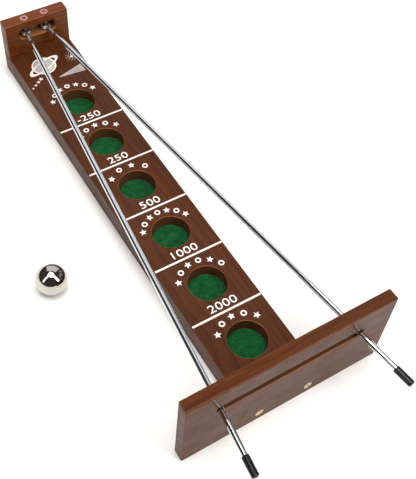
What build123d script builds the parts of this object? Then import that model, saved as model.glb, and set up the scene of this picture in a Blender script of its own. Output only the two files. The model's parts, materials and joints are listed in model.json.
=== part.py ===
from build123d import *
from math import asin, atan2, cos, degrees, radians, sin
import os

# Two-rail ball game: a long board with six felt-lined cups, a wide plate across its near end, and a
# block on its far end that holds two steel rods. Each rod turns about an upright screw in the block
# and slides along a slot in the plate, so a player spreads the rods to drop a ball into a cup.
#
# Millimetres. +X is the player's right, +Y runs from the player to the far end, +Z is up. The origin
# is the middle of the board's underside, which lies on the table.

# ---- driving dimensions -------------------------------------------------------------------------

# Board
BOARD_LENGTH = 416.0
BOARD_WIDTH = 63.0
BOARD_THICKNESS = 20.0
BOARD_EDGE_ROUND = 0.7

# Cups and their felt discs
CUP_COUNT = 6
CUP_DIAMETER = 31.6
CUP_DEPTH = 12.0
CUP_PITCH = 56.5
FIRST_CUP_FROM_NEAR_END = 39.8
CUP_RIM_BREAK = 0.4
FELT_THICKNESS = 1.2
FELT_GAP = 0.3

# Front plate and its slot
PLATE_WIDTH = 171.5
PLATE_HEIGHT = 79.0
PLATE_THICKNESS = 9.8
PLATE_EDGE_ROUND = 1.0
SLOT_LENGTH = 122.0
SLOT_HEIGHT = 8.0
SLOT_FLOOR_HEIGHT = 51.8

# Pivot block and the blind slot in its face
BLOCK_HEIGHT = 37.2
BLOCK_THICKNESS = 12.8
BLOCK_EDGE_ROUND = 0.9
PIVOT_SPACING = 20.4
PIVOT_FROM_BLOCK_FACE = 6.1
BLOCK_SLOT_LENGTH = 37.4
BLOCK_SLOT_HEIGHT = 11.8
BLOCK_SLOT_CORNER_RADIUS = 4.0
BLOCK_SLOT_FLOOR_ABOVE_BOARD = 18.2

# Rod eyes and washers
EYE_DIAMETER = 9.6
EYE_THICKNESS = 4.0
EYE_BOSS_LENGTH = 2.6
EYE_BOSS_DIAMETER = 4.2
NECK_DIAMETER = 3.0
NECK_REACH = 17.0
NECK_IN_ROD = 9.0
WASHER_DIAMETER = 8.6
WASHER_THICKNESS = 0.8

# Rods and grip caps
ROD_DIAMETER = 4.6
ROD_PAST_PLATE = 47.8
CAP_LENGTH = 15.0
CAP_WALL = 0.5
CAP_END_THICKNESS = 1.4
CAP_END_ROUND = 1.2

# Screws: shank diameter, head diameter, length under the head's flat top
PIVOT_SHANK_DIAMETER = 4.0
PIVOT_HEAD_DIAMETER = 7.6
PIVOT_SCREW_LENGTH = 31.0
PLATE_SHANK_DIAMETER = 3.6
PLATE_HEAD_DIAMETER = 7.0
PLATE_SCREW_LENGTH = 34.0
PLATE_SCREW_SPACING = 42.6
BLOCK_SHANK_DIAMETER = 3.6
BLOCK_HEAD_DIAMETER = 7.0
BLOCK_SCREW_LENGTH = 36.0
BLOCK_SCREW_SPACING = 46.0
HEAD_LAND = 0.4
TIP_LENGTH = 5.0
RECESS_WIDTH = 1.1
RECESS_SPAN_SHARE = 0.62
RECESS_DEPTH = 1.3

# Ball, where it lies beside the board
BALL_DIAMETER = 25.4
BALL_FROM_BOARD_SIDE = 70.5
BALL_FROM_NEAR_END = 162.8

# Clearances
SCREW_GAP = 0.02
RUNNING_GAP = 0.08
EYE_SLOT_GAP = 0.35
EYE_WASHER_GAP = 0.1
ROD_SLOT_GAP = 0.35
ROD_END_GAP = 0.4
ROD_MEETING_GAP = 0.3

# ---- places worked out from them ----------------------------------------------------------------

near_end_y = -BOARD_LENGTH / 2
far_end_y = BOARD_LENGTH / 2
plate_front_y = near_end_y - PLATE_THICKNESS
block_face_y = far_end_y - BLOCK_THICKNESS
block_top_z = BOARD_THICKNESS + BLOCK_HEIGHT

cup_radius = CUP_DIAMETER / 2
block_slot_floor_z = BOARD_THICKNESS + BLOCK_SLOT_FLOOR_ABOVE_BOARD
block_slot_depth = PIVOT_FROM_BLOCK_FACE + EYE_DIAMETER / 2 + EYE_SLOT_GAP
eye_z = block_slot_floor_z + WASHER_THICKNESS + EYE_WASHER_GAP + EYE_THICKNESS / 2
pivot_x = PIVOT_SPACING / 2
pivot_y = block_face_y + PIVOT_FROM_BLOCK_FACE

rod_radius = ROD_DIAMETER / 2
cap_radius = rod_radius + CAP_WALL
slot_arc_x = (SLOT_LENGTH - SLOT_HEIGHT) / 2

# At rest each rod lies at its end of the slot. It touches the slot's floor at the plate's back face.
back_rod_z = SLOT_FLOOR_HEIGHT + ROD_SLOT_GAP + rod_radius
front_rise = PLATE_THICKNESS * (back_rod_z - eye_z) / (pivot_y - near_end_y)
drop_below_arc = SLOT_FLOOR_HEIGHT + SLOT_HEIGHT / 2 - back_rod_z - front_rise
slot_free_radius = SLOT_HEIGHT / 2 - rod_radius - ROD_END_GAP
rest_x = slot_arc_x + max(slot_free_radius**2 - drop_below_arc**2, 0) ** 0.5
spread_angle = degrees(atan2(rest_x - pivot_x, pivot_y - plate_front_y))
run_to_plate = (pivot_y - near_end_y) / cos(radians(spread_angle))
rod_slope = degrees(atan2(back_rod_z - eye_z, run_to_plate))

rod_y_share = cos(radians(rod_slope)) * cos(radians(spread_angle))
rod_reach = (pivot_y - plate_front_y + ROD_PAST_PLATE) / rod_y_share

# Closed, the two grip caps nearly meet at their outer ends.
cap_reach = rod_reach + CAP_END_THICKNESS
meeting_x = cap_radius + ROD_MEETING_GAP
closed_angle = degrees(asin((pivot_x - meeting_x) / (cap_reach * cos(radians(rod_slope)))))
swing_range = spread_angle + closed_angle

ball_x = -BOARD_WIDTH / 2 - BALL_FROM_BOARD_SIDE
ball_y = near_end_y + BALL_FROM_NEAR_END

LEFT = -1
RIGHT = 1
SIDES = {"left": LEFT, "right": RIGHT}
UP_FROM_BASE = (Align.CENTER, Align.CENTER, Align.MIN)
DOWN_FROM_TOP = (Align.CENTER, Align.CENTER, Align.MAX)


# ---- shared shapes ------------------------------------------------------------------------------


def wood_screw(shank, head, length):
    """Countersunk wood screw that points down from the origin, with a cross recess in its head."""
    cone = (head - shank) / 2
    outline = Polyline(
        (0, 0),
        (head / 2, 0),
        (head / 2, -HEAD_LAND),
        (shank / 2, -HEAD_LAND - cone),
        (shank / 2, -length + TIP_LENGTH),
        (0, -length),
        close=True,
    )
    body = revolve(Plane.XZ * make_face(outline), Axis.Z)
    arm = Box(head * RECESS_SPAN_SHARE, RECESS_WIDTH, RECESS_DEPTH, align=DOWN_FROM_TOP)
    return body - arm - Rot(0, 0, 90) * arm


def screw_hole(shank, head, length):
    """The hole that a screw of these sizes fills, with the wood standing off it by SCREW_GAP."""
    cone = (head - shank) / 2
    hole_head = head / 2 + SCREW_GAP
    hole_shank = shank / 2 + SCREW_GAP
    outline = Polyline(
        (0, 1),
        (hole_head, 1),
        (hole_head, -HEAD_LAND - SCREW_GAP),
        (hole_shank, -HEAD_LAND - cone - SCREW_GAP),
        (hole_shank, -length + TIP_LENGTH),
        (0, -length - SCREW_GAP),
        close=True,
    )
    return revolve(Plane.XZ * make_face(outline), Axis.Z)


def plate_screw_place(side):
    """Head of a plate screw: on the plate's front face at the board's mid-thickness, driven along +Y."""
    return Pos(side * PLATE_SCREW_SPACING / 2, plate_front_y, BOARD_THICKNESS / 2) * Rot(90, 0, 0)


def block_screw_place(side):
    """Head of a block screw: in the board's underside, driven up into the block."""
    middle_y = far_end_y - BLOCK_THICKNESS / 2
    return Pos(side * BLOCK_SCREW_SPACING / 2, middle_y, 0) * Rot(180, 0, 0)


def pivot_screw_place(side):
    """Head of a pivot screw: in the block's top, driven down through the rod's eye."""
    return Pos(side * pivot_x, pivot_y, block_top_z)


def rod_place(side):
    """Frame at the eye's centre whose +Z runs along the rod, outwards, up and towards the player."""
    flat = cos(radians(rod_slope))
    along = Vector(
        side * flat * sin(radians(spread_angle)),
        -flat * cos(radians(spread_angle)),
        sin(radians(rod_slope)),
    )
    return Plane(origin=(side * pivot_x, pivot_y, eye_z), x_dir=along.cross(Vector(0, 0, 1)), z_dir=along)


# ---- wooden pieces ------------------------------------------------------------------------------


def cup_centres():
    first_y = near_end_y + FIRST_CUP_FROM_NEAR_END
    return [first_y + number * CUP_PITCH for number in range(CUP_COUNT)]


def make_deck_board():
    board = Box(BOARD_WIDTH, BOARD_LENGTH, BOARD_THICKNESS, align=UP_FROM_BASE)
    long_edges = board.edges().filter_by(Axis.Y)
    board = fillet(long_edges, BOARD_EDGE_ROUND)
    for y in cup_centres():
        cup = Cylinder(cup_radius, CUP_DEPTH, align=DOWN_FROM_TOP)
        rim = Cone(cup_radius, cup_radius + CUP_RIM_BREAK, CUP_RIM_BREAK, align=DOWN_FROM_TOP)
        board -= Pos(0, y, BOARD_THICKNESS) * (cup + rim)
    for side in SIDES.values():
        board -= plate_screw_place(side) * screw_hole(
            PLATE_SHANK_DIAMETER, PLATE_HEAD_DIAMETER, PLATE_SCREW_LENGTH
        )
        board -= block_screw_place(side) * screw_hole(
            BLOCK_SHANK_DIAMETER, BLOCK_HEAD_DIAMETER, BLOCK_SCREW_LENGTH
        )
    return board


def make_front_plate():
    plate = Pos(0, plate_front_y, 0) * Box(
        PLATE_WIDTH, PLATE_THICKNESS, PLATE_HEIGHT, align=(Align.CENTER, Align.MIN, Align.MIN)
    )
    plate = fillet(plate.edges(), PLATE_EDGE_ROUND)
    slot_middle = Plane(
        origin=(0, near_end_y, SLOT_FLOOR_HEIGHT + SLOT_HEIGHT / 2), x_dir=(1, 0, 0), z_dir=(0, -1, 0)
    )
    plate -= extrude(slot_middle * SlotOverall(SLOT_LENGTH, SLOT_HEIGHT), PLATE_THICKNESS)
    for side in SIDES.values():
        plate -= plate_screw_place(side) * screw_hole(
            PLATE_SHANK_DIAMETER, PLATE_HEAD_DIAMETER, PLATE_SCREW_LENGTH
        )
    return plate


def make_pivot_block():
    block = Pos(0, block_face_y, BOARD_THICKNESS) * Box(
        BOARD_WIDTH, BLOCK_THICKNESS, BLOCK_HEIGHT, align=(Align.CENTER, Align.MIN, Align.MIN)
    )
    upright_edges = block.edges().filter_by(Axis.Z)
    top_edges = block.faces().sort_by(Axis.Z)[-1].edges()
    block = fillet(upright_edges + top_edges, BLOCK_EDGE_ROUND)
    slot_middle = Plane(
        origin=(0, block_face_y, block_slot_floor_z + BLOCK_SLOT_HEIGHT / 2),
        x_dir=(1, 0, 0),
        z_dir=(0, -1, 0),
    )
    slot = RectangleRounded(BLOCK_SLOT_LENGTH, BLOCK_SLOT_HEIGHT, BLOCK_SLOT_CORNER_RADIUS)
    block -= extrude(slot_middle * slot, -block_slot_depth)
    for side in SIDES.values():
        block -= pivot_screw_place(side) * screw_hole(
            PIVOT_SHANK_DIAMETER, PIVOT_HEAD_DIAMETER, PIVOT_SCREW_LENGTH
        )
        block -= block_screw_place(side) * screw_hole(
            BLOCK_SHANK_DIAMETER, BLOCK_HEAD_DIAMETER, BLOCK_SCREW_LENGTH
        )
    return block


def make_felt_disc(y):
    floor_z = BOARD_THICKNESS - CUP_DEPTH
    return Pos(0, y, floor_z) * Cylinder(cup_radius - FELT_GAP, FELT_THICKNESS, align=UP_FROM_BASE)


# ---- rods and what turns with them --------------------------------------------------------------


def make_rod_eye(side):
    """Ring about the upright pivot screw, with a boss and a threaded neck that screws into the rod."""
    place = rod_place(side)
    ring_place = Pos(side * pivot_x, pivot_y, eye_z)
    ring = ring_place * Cylinder(EYE_DIAMETER / 2, EYE_THICKNESS)
    ring = fillet(ring.edges(), EYE_THICKNESS / 5)
    bore = ring_place * Cylinder(PIVOT_SHANK_DIAMETER / 2 + RUNNING_GAP, EYE_THICKNESS * 2)
    inner_reach = (PIVOT_SHANK_DIAMETER / 2 + EYE_DIAMETER / 2) / 2
    boss_end = EYE_DIAMETER / 2 + EYE_BOSS_LENGTH
    boss = place * Pos(0, 0, inner_reach) * Cone(
        EYE_BOSS_DIAMETER / 2, NECK_DIAMETER / 2, boss_end - inner_reach, align=UP_FROM_BASE
    )
    neck = place * Pos(0, 0, inner_reach) * Cylinder(
        NECK_DIAMETER / 2, NECK_REACH + NECK_IN_ROD - inner_reach, align=UP_FROM_BASE
    )
    return ring + boss + neck - bore


def make_rod(side):
    """Straight steel rod from the end of the eye's neck to inside the grip cap."""
    place = rod_place(side)
    rod = Cylinder(rod_radius, rod_reach - NECK_REACH, align=UP_FROM_BASE)
    rod = chamfer(rod.edges(), rod_radius / 6)
    socket = Cylinder(NECK_DIAMETER / 2 + SCREW_GAP, NECK_IN_ROD + SCREW_GAP, align=UP_FROM_BASE)
    return place * Pos(0, 0, NECK_REACH) * (rod - socket)


def make_grip_cap(side):
    """Push-on cap with a rounded closed end over the rod's outer end."""
    cap_start = cap_reach - CAP_LENGTH
    shell = Cylinder(cap_radius, CAP_LENGTH, align=UP_FROM_BASE)
    shell = fillet(shell.edges().sort_by(Axis.Z)[-1:], CAP_END_ROUND)
    hollow = Cylinder(rod_radius + SCREW_GAP, CAP_LENGTH - CAP_END_THICKNESS, align=UP_FROM_BASE)
    return rod_place(side) * Pos(0, 0, cap_start) * (shell - hollow)


def make_pivot_washer(side):
    """Washer on the block slot's floor that carries the rod's eye."""
    disc = Cylinder(WASHER_DIAMETER / 2, WASHER_THICKNESS, align=UP_FROM_BASE)
    hole = Cylinder(PIVOT_SHANK_DIAMETER / 2 + RUNNING_GAP, WASHER_THICKNESS, align=UP_FROM_BASE)
    return Pos(side * pivot_x, pivot_y, block_slot_floor_z) * (disc - hole)


# ---- all nodes ----------------------------------------------------------------------------------


def make_nodes():
    nodes = {
        "deck_board": make_deck_board(),
        "front_plate": make_front_plate(),
        "pivot_block": make_pivot_block(),
    }
    for side_name, side in SIDES.items():
        nodes[side_name + "_rod"] = make_rod(side)
        nodes[side_name + "_rod_eye"] = make_rod_eye(side)
        nodes[side_name + "_grip_cap"] = make_grip_cap(side)
        nodes[side_name + "_pivot_washer"] = make_pivot_washer(side)
        nodes[side_name + "_pivot_screw"] = pivot_screw_place(side) * wood_screw(
            PIVOT_SHANK_DIAMETER, PIVOT_HEAD_DIAMETER, PIVOT_SCREW_LENGTH
        )
        nodes[side_name + "_plate_screw"] = plate_screw_place(side) * wood_screw(
            PLATE_SHANK_DIAMETER, PLATE_HEAD_DIAMETER, PLATE_SCREW_LENGTH
        )
        nodes[side_name + "_block_screw"] = block_screw_place(side) * wood_screw(
            BLOCK_SHANK_DIAMETER, BLOCK_HEAD_DIAMETER, BLOCK_SCREW_LENGTH
        )
    for number, y in enumerate(cup_centres(), start=1):
        nodes["felt_disc_" + str(number)] = make_felt_disc(y)
    nodes["steel_ball"] = Pos(ball_x, ball_y, BALL_DIAMETER / 2) * Sphere(BALL_DIAMETER / 2)
    return nodes


os.makedirs("parts", exist_ok=True)
for name, shape in make_nodes().items():
    export_step(shape, "parts/" + name + ".step")

print("pivot axes at x =", -pivot_x, pivot_x, "y =", pivot_y, "eye height", eye_z)
print("rest spread", spread_angle, "closed", closed_angle, "swing range", swing_range, "slope", rod_slope)
print("rest rod centre in the slot: x", rest_x, "z at back face", back_rod_z)
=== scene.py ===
"""Looks of a two-rail ball game: stained timber, chromed rods, felt-lined cups and a loose steel ball.

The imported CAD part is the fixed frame. Every piece here is a numpy surface built on the boxes and joints
of that frame, in metres: +X is the player's right, +Y runs away from the player, and +Z is up.
"""

import json
import math

import bmesh
import bpy
import numpy as np
from mathutils import Matrix, Vector

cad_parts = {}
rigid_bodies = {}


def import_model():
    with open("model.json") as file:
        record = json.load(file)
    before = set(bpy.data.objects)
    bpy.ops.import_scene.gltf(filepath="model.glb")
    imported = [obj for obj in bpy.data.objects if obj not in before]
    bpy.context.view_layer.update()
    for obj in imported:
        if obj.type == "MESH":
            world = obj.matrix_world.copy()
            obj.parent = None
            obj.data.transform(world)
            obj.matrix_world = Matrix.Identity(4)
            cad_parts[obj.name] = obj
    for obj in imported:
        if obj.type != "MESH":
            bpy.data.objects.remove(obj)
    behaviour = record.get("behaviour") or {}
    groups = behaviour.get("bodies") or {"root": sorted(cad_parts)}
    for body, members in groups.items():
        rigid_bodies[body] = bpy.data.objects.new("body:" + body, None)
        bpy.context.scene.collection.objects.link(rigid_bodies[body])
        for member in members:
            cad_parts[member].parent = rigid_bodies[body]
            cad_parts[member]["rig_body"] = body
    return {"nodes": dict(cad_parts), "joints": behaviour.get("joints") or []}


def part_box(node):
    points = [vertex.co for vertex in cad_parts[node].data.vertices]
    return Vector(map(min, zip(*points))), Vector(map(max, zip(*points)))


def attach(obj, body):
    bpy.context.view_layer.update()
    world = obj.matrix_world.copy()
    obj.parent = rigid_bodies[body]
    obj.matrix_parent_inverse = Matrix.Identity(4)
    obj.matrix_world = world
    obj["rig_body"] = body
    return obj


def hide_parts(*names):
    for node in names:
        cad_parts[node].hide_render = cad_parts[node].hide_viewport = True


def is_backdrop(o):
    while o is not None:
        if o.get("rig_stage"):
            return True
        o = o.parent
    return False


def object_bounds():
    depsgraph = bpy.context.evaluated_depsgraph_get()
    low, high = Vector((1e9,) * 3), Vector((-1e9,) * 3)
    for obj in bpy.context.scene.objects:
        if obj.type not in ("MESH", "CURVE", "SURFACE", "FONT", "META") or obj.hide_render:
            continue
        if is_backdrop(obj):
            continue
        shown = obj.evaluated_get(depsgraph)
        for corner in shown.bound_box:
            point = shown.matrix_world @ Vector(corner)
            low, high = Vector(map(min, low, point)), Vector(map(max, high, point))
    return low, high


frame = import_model()
cad_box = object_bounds()

bl_info = {
    "name": "Two-rail ball game",
    "version": (1, 0, 0),
    "blender": (4, 5, 0),
    "location": "3D View > Sidebar > Ball Game",
    "description": "Builds the timber, metal, felt and print of a two-rail ball game around its CAD frame",
    "category": "Object",
}

MM = 0.001
TURN = 2 * np.pi
SIDES = ("left", "right")
MERGE_DISTANCE = 2e-7
BOOLEAN_OVERRUN = 1.0 * MM
INK_SINK = 0.02 * MM
BALL_SHRINK = 0.004 * MM


# ---- values from the frame ----


def corners(node):
    """Lowest and highest corner of a CAD node, as arrays."""
    low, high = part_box(node)
    return np.array(low), np.array(high)


def numbered(prefix):
    """The CAD nodes whose names start with prefix, in order."""
    return sorted(node for node in frame["nodes"] if node.startswith(prefix))


def body_of(node):
    """The CAD body that a node belongs to."""
    return frame["nodes"][node]["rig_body"]


def pivot_of(side):
    """The point in the middle of a rod's eye, which is where its hinge is."""
    joint = next(j for j in frame["joints"] if j["name"] == f"{side}_rod_swing")
    return np.array(joint["pos_m"])


def rod_line(side):
    """A rod's unit direction, away from its pivot, and the distance from the pivot to the rod's middle."""
    low, high = corners(f"{side}_rod")
    span = (low + high) / 2 - pivot_of(side)
    distance = np.linalg.norm(span)
    return span / distance, distance


BOARD_LOW, BOARD_HIGH = corners("deck_board")
BOARD_TOP = BOARD_HIGH[2]
CUPS = [(low + high) / 2 for low, high in map(corners, numbered("felt_disc"))]


# ---- settings ----


def size(name, millimetres, description):
    """A length property, given in millimetres and kept in metres."""
    return bpy.props.FloatProperty(
        name=name, description=description, default=millimetres * MM, min=0.0, precision=5, unit="LENGTH",
    )


def turn(name, degrees, description):
    """An angle property, given in degrees and kept in radians."""
    return bpy.props.FloatProperty(
        name=name, description=description, default=math.radians(degrees), unit="ROTATION"
    )


def number(name, value, description):
    """A plain number property."""
    return bpy.props.FloatProperty(name=name, description=description, default=value, min=0.0)


def linear(red, green, blue):
    """Display colour as linear light: ((c + 0.055) / 1.055) to the power 2.4, or c / 12.92 when dark."""
    c = np.array([red, green, blue]) / 255
    return tuple(float(x) for x in np.where(c > 0.04045, ((c + 0.055) / 1.055) ** 2.4, c / 12.92))


def tint(name, display, description):
    """A colour property, given as a display colour from 0 to 255."""
    return bpy.props.FloatVectorProperty(
        name=name, description=description, default=linear(*display), min=0.0, max=1.0, subtype="COLOR",
    )


class BALLGAME_PG_timber(bpy.types.PropertyGroup):
    """Sizes and stain colours of the board, the front plate and the pivot block."""

    board_round: size("Board edge round", 0.7, "Radius of the board's edges")
    plate_round: size("Plate edge round", 1.0, "Radius of the front plate's edges")
    block_round: size("Block edge round", 0.9, "Radius of the pivot block's upright and top edges")
    foot_round: size("Block foot round", 0.25, "Radius of the pivot block's edges on the board")
    felt_gap: size("Gap round the felt", 0.3, "Distance from a felt disc's edge to the cup's wall")
    cup_lip: size("Cup lip", 0.55, "Radius of the softened rim of each cup")
    slot_length: size("Slot length", 122.0, "Overall length of the front plate's slot")
    slot_height: size("Slot height", 8.0, "Height of the front plate's slot")
    slot_floor: size("Slot floor height", 51.8, "Height of the slot's lower edge above the table")
    slot_lip: size("Slot lip", 0.4, "Radius of the slot's softened edges")
    block_slot_length: size("Block slot length", 37.4, "Length of the blind slot in the pivot block")
    block_slot_height: size("Block slot height", 11.8, "Height of the blind slot in the pivot block")
    block_slot_corner: size("Block slot corner", 4.0, "Corner radius of the blind slot")
    block_slot_depth: size("Block slot depth", 11.25, "Depth of the blind slot from the block's face")
    block_slot_floor: size("Block slot floor", 18.2, "Height of the blind slot's floor above the board")
    board_dark: tint("Board, dark grain", (58, 29, 11), "Darkest stain on the board")
    board_light: tint("Board, light grain", (92, 49, 23), "Lightest stain on the board")
    plate_dark: tint("Plate, dark grain", (59, 29, 11), "Darkest stain on the front plate")
    plate_light: tint("Plate, light grain", (100, 53, 22), "Lightest stain on the front plate")
    block_dark: tint("Block, dark grain", (76, 37, 12), "Darkest stain on the pivot block")
    block_light: tint("Block, light grain", (122, 66, 28), "Lightest stain on the pivot block")
    # Painted light: a lighter colour laid on the walls inside cups, slot and screw holes, where shade falls.
    cut_timber: tint("Cut timber", (92, 62, 40), "Colour of the thinly stained walls of cups and holes")
    # Partly a guess at barely stained timber, partly painted light that brightens the shaded inside of the
    # blind slot.
    bare_timber: tint("Bare timber", (152, 108, 74), "Colour of the barely stained walls of the blind slot")


class BALLGAME_PG_metal(bpy.types.PropertyGroup):
    """Sizes and colours of the rods, eyes, washers, screws and ball."""

    rod_radius: size("Rod radius", 2.3, "Radius of each rod")
    rod_start: size("Rod start", 17.0, "Distance from the pivot to the rod's end")
    rod_bore_depth: size("Rod bore depth", 9.0, "Depth of the threaded hole in the rod's end")
    eye_radius: size("Eye radius", 4.8, "Outer radius of each ring eye")
    eye_bore: size("Eye bore radius", 2.08, "Radius of the hole in each ring eye")
    eye_height: size("Eye height", 4.0, "Height of each ring eye")
    boss_radius: size("Boss radius", 2.1, "Radius of the boss between ring and neck")
    neck_radius: size("Neck radius", 1.5, "Radius of the threaded neck")
    thread_pitch: size("Neck thread pitch", 0.6, "Pitch of the neck's thread")
    thread_depth: size("Neck thread depth", 0.22, "Depth of the neck's thread")
    cap_wall: size("Cap wall", 0.5, "Wall of each grip cap")
    cap_end: size("Cap end thickness", 1.4, "Thickness of each grip cap's closed end")
    cap_length: size("Cap length", 15.0, "Length of each grip cap")
    cap_round: size("Cap end round", 1.2, "Radius of each grip cap's outer edge")
    chrome: tint("Chrome", (224, 227, 232), "Colour of the rods and eyes")
    eye_steel: tint("Eye steel", (236, 236, 238), "Colour of the rods' eyes and necks")
    steel: tint("Polished steel", (196, 192, 184), "Colour of the ball")
    zinc: tint("Zinc", (172, 174, 178), "Colour of the washers and hidden screws")
    brass: tint("Brass", (206, 184, 146), "Colour of the plate screws")
    copper: tint("Pivot screw plating", (214, 160, 146), "Colour of the pivot screws")
    plastic: tint("Grip plastic", (10, 10, 11), "Colour of the grip caps")


class BALLGAME_PG_print(bpy.types.PropertyGroup):
    """Sizes and colours of the felt and of the white print on the board."""

    ink_height: size("Ink height", 0.07, "How far the print stands above the timber")
    line_width: size("Line width", 1.7, "Width of the lines between the cups")
    digit_height: size("Numeral height", 7.0, "Height of the score numerals")
    digit_gap: size("Numeral gap", 3.1, "Distance from a line's middle to the numerals above it")
    arc_radius: size("Mark arc radius", 22.4, "Distance from a cup's middle to the marks round it")
    mark_size: size("Mark size", 3.15, "Radius of each mark")
    ink: tint("White ink", (238, 232, 228), "Colour of the lines, numerals and marks")
    silver: tint("Silver ink", (176, 172, 168), "Colour of the ornament's filling")
    felt_deep: tint("Felt, deep", (1, 43, 20), "Colour between the felt's fibres")
    felt_light: tint("Felt, light", (14, 92, 44), "Colour of the felt's raised fibres")


class BALLGAME_PG_stage(bpy.types.PropertyGroup):
    """Floor, lights and camera."""

    camera_place: bpy.props.FloatVectorProperty(
        name="Camera place", description="Where the camera stands", size=3, unit="LENGTH",
        default=(-0.21355, -0.3913, 0.55953),
    )
    azimuth: turn("Camera azimuth", -33.728, "Direction the camera stands in, from the player's side")
    elevation: turn("Camera elevation", 52.306, "Angle of the camera above the horizon")
    roll: turn("Camera roll", 3.780, "Turn of the camera about its own axis")
    lens: number("Lens", 62.111, "Focal length in millimetres")
    shift_x: bpy.props.FloatProperty(name="Shift X", description="Sideways lens shift", default=0.0518)
    shift_y: bpy.props.FloatProperty(name="Shift Y", description="Upward lens shift", default=-0.0529)
    floor: tint("Floor", (244, 243, 241), "Colour of the floor")
    key_strength: number("Key strength", 8.4, "Brightness of the soft light overhead")


SETTINGS = {
    "ball_game_timber": BALLGAME_PG_timber,
    "ball_game_metal": BALLGAME_PG_metal,
    "ball_game_print": BALLGAME_PG_print,
    "ball_game_stage": BALLGAME_PG_stage,
}


# ---- outlines and profiles ----


def rounded_rectangle(width, height, radius, steps):
    """Outline points and outward normals of a rectangle with round corners.

    Each corner is a quarter circle: corner centre + radius * (cos t, sin t), with normal (cos t, sin t).
    """
    t = np.linspace(0, TURN / 4, steps + 1) + np.arange(4)[:, None] * TURN / 4
    signs = np.array([(1, 1), (-1, 1), (-1, -1), (1, -1)])
    centres = signs * (width / 2 - radius, height / 2 - radius)
    normals = np.stack([np.cos(t), np.sin(t)], -1)
    return (centres[:, None] + radius * normals).reshape(-1, 2), normals.reshape(-1, 2)


def hub(count):
    """Outline of radius nought with normals all round, so that a profile's offset is its radius."""
    t = np.arange(count) * TURN / count
    return np.zeros((count, 2)), np.stack([np.cos(t), np.sin(t)], -1)


def arc(centre, radius, start, end, steps=6):
    """Points of an arc, centre + radius * (cos t, sin t), with t from start to end in degrees."""
    t = np.radians(np.linspace(start, end, steps + 1))
    return np.stack([centre[0] + radius * np.cos(t), centre[1] + radius * np.sin(t)], -1)


def carry(outline, profile):
    """Grid of a profile carried round an outline.

    Row k, column i is outline point i + profile offset k * outward normal i, at profile height k.
    """
    points, normals = outline
    offsets, heights = np.asarray(profile, float).T
    flat = points[None] + offsets[:, None, None] * normals[None]
    upright = np.broadcast_to(heights[:, None, None], flat.shape[:2] + (1,))
    return np.concatenate([flat, upright], -1)


def lathe(profile, count):
    """Grid of a (radius, height) profile turned about the third axis."""
    return carry(hub(count), profile)


def threaded(profile, count, pitch, depth, start, end):
    """Lathe with a thread: between two heights the radius falls by depth times a triangle wave.

    The wave's phase is height / pitch + angle / turn, so its crest winds once round for each pitch.
    """
    grid = lathe(profile, count)
    angle = np.arange(count) / count
    height = grid[:, 0, 2]
    wave = np.abs(2 * ((height[:, None] / pitch + angle[None]) % 1) - 1)
    fade = np.clip(np.minimum(height - start, end - height) / pitch, 0, 1)
    radius = np.linalg.norm(grid[..., :2], axis=-1)
    share = 1 - depth * wave * fade[:, None] / np.maximum(radius, 1e-9)
    grid[..., :2] *= np.where(radius > 1e-6, share, 1)[..., None]
    return grid


def rounded_box(low, high, radius, foot=None):
    """Grid of a box with round edges: a rounded rectangle with quarter-round profiles below and above.

    The foot radius, if given, is that of the bottom edges.
    """
    foot = radius if foot is None else foot
    width, depth, height = high - low
    profile = np.vstack(
        [arc((-foot, foot), foot, -90, 0), arc((-radius, height - radius), radius, 0, 90)]
    )
    middle = (low + high) / 2
    return carry(rounded_rectangle(width, depth, radius, 6), profile) + (middle[0], middle[1], low[2])


def axes_along(direction):
    """Three perpendicular unit vectors, as rows, of which the last runs along direction."""
    w = np.asarray(direction, float) / np.linalg.norm(direction)
    helper = (0, 0, 1) if abs(w[2]) < 0.9 else (0, 1, 0)
    u = np.cross(helper, w)
    u /= np.linalg.norm(u)
    return np.array([u, np.cross(w, u), w])


def place(grid, origin, direction):
    """Local (u, v, w) to the frame: origin + u, v and w times the axes whose last runs along direction."""
    return np.asarray(origin) + grid @ axes_along(direction)


def on_rod(side, grid):
    """Grid placed with its third axis along a rod, from the rod's pivot."""
    return place(grid, pivot_of(side), rod_line(side)[0])


def turned(grid, angle):
    """Grid turned about its third axis: x cos a - y sin a, x sin a + y cos a."""
    c, s = np.cos(angle), np.sin(angle)
    return grid @ np.array([[c, s, 0], [-s, c, 0], [0, 0, 1]])


def ripple(points, wavelength, seed, waves=24):
    """Smooth noise between about -1 and 1: the mean of sines over random directions near a wavelength."""
    chance = np.random.default_rng(seed)
    heading = chance.uniform(0, TURN, waves)
    rate = TURN / (wavelength * chance.uniform(0.6, 1.6, waves))
    phase = chance.uniform(0, TURN, waves)
    along = points[..., :1] * np.cos(heading) + points[..., 1:2] * np.sin(heading)
    return np.sin(along * rate + phase).sum(-1) / math.sqrt(waves / 2) / 2


# ---- meshes ----


def mesh_from(*grids, closed_section=False):
    """Mesh of one or more grids whose columns wrap round.

    An open section is capped at its first and last row, where a row of equal points is a pole. A closed
    section joins its last row to its first.
    """
    vertices, faces, start = [], [], 0
    for grid in grids:
        rows, count = grid.shape[:2]
        index = start + np.arange(rows * count).reshape(rows, count)
        below, above = (index, np.roll(index, -1, 0)) if closed_section else (index[:-1], index[1:])
        quads = np.stack([below, np.roll(below, -1, 1), np.roll(above, -1, 1), above], -1)
        faces += quads.reshape(-1, 4).tolist()
        if not closed_section:
            faces += [index[0][::-1].tolist(), index[-1].tolist()]
        vertices.append(grid.reshape(-1, 3))
        start += rows * count
    mesh = bpy.data.meshes.new("surface")
    mesh.from_pydata(np.concatenate(vertices), [], faces)
    return close_up(mesh)


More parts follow.
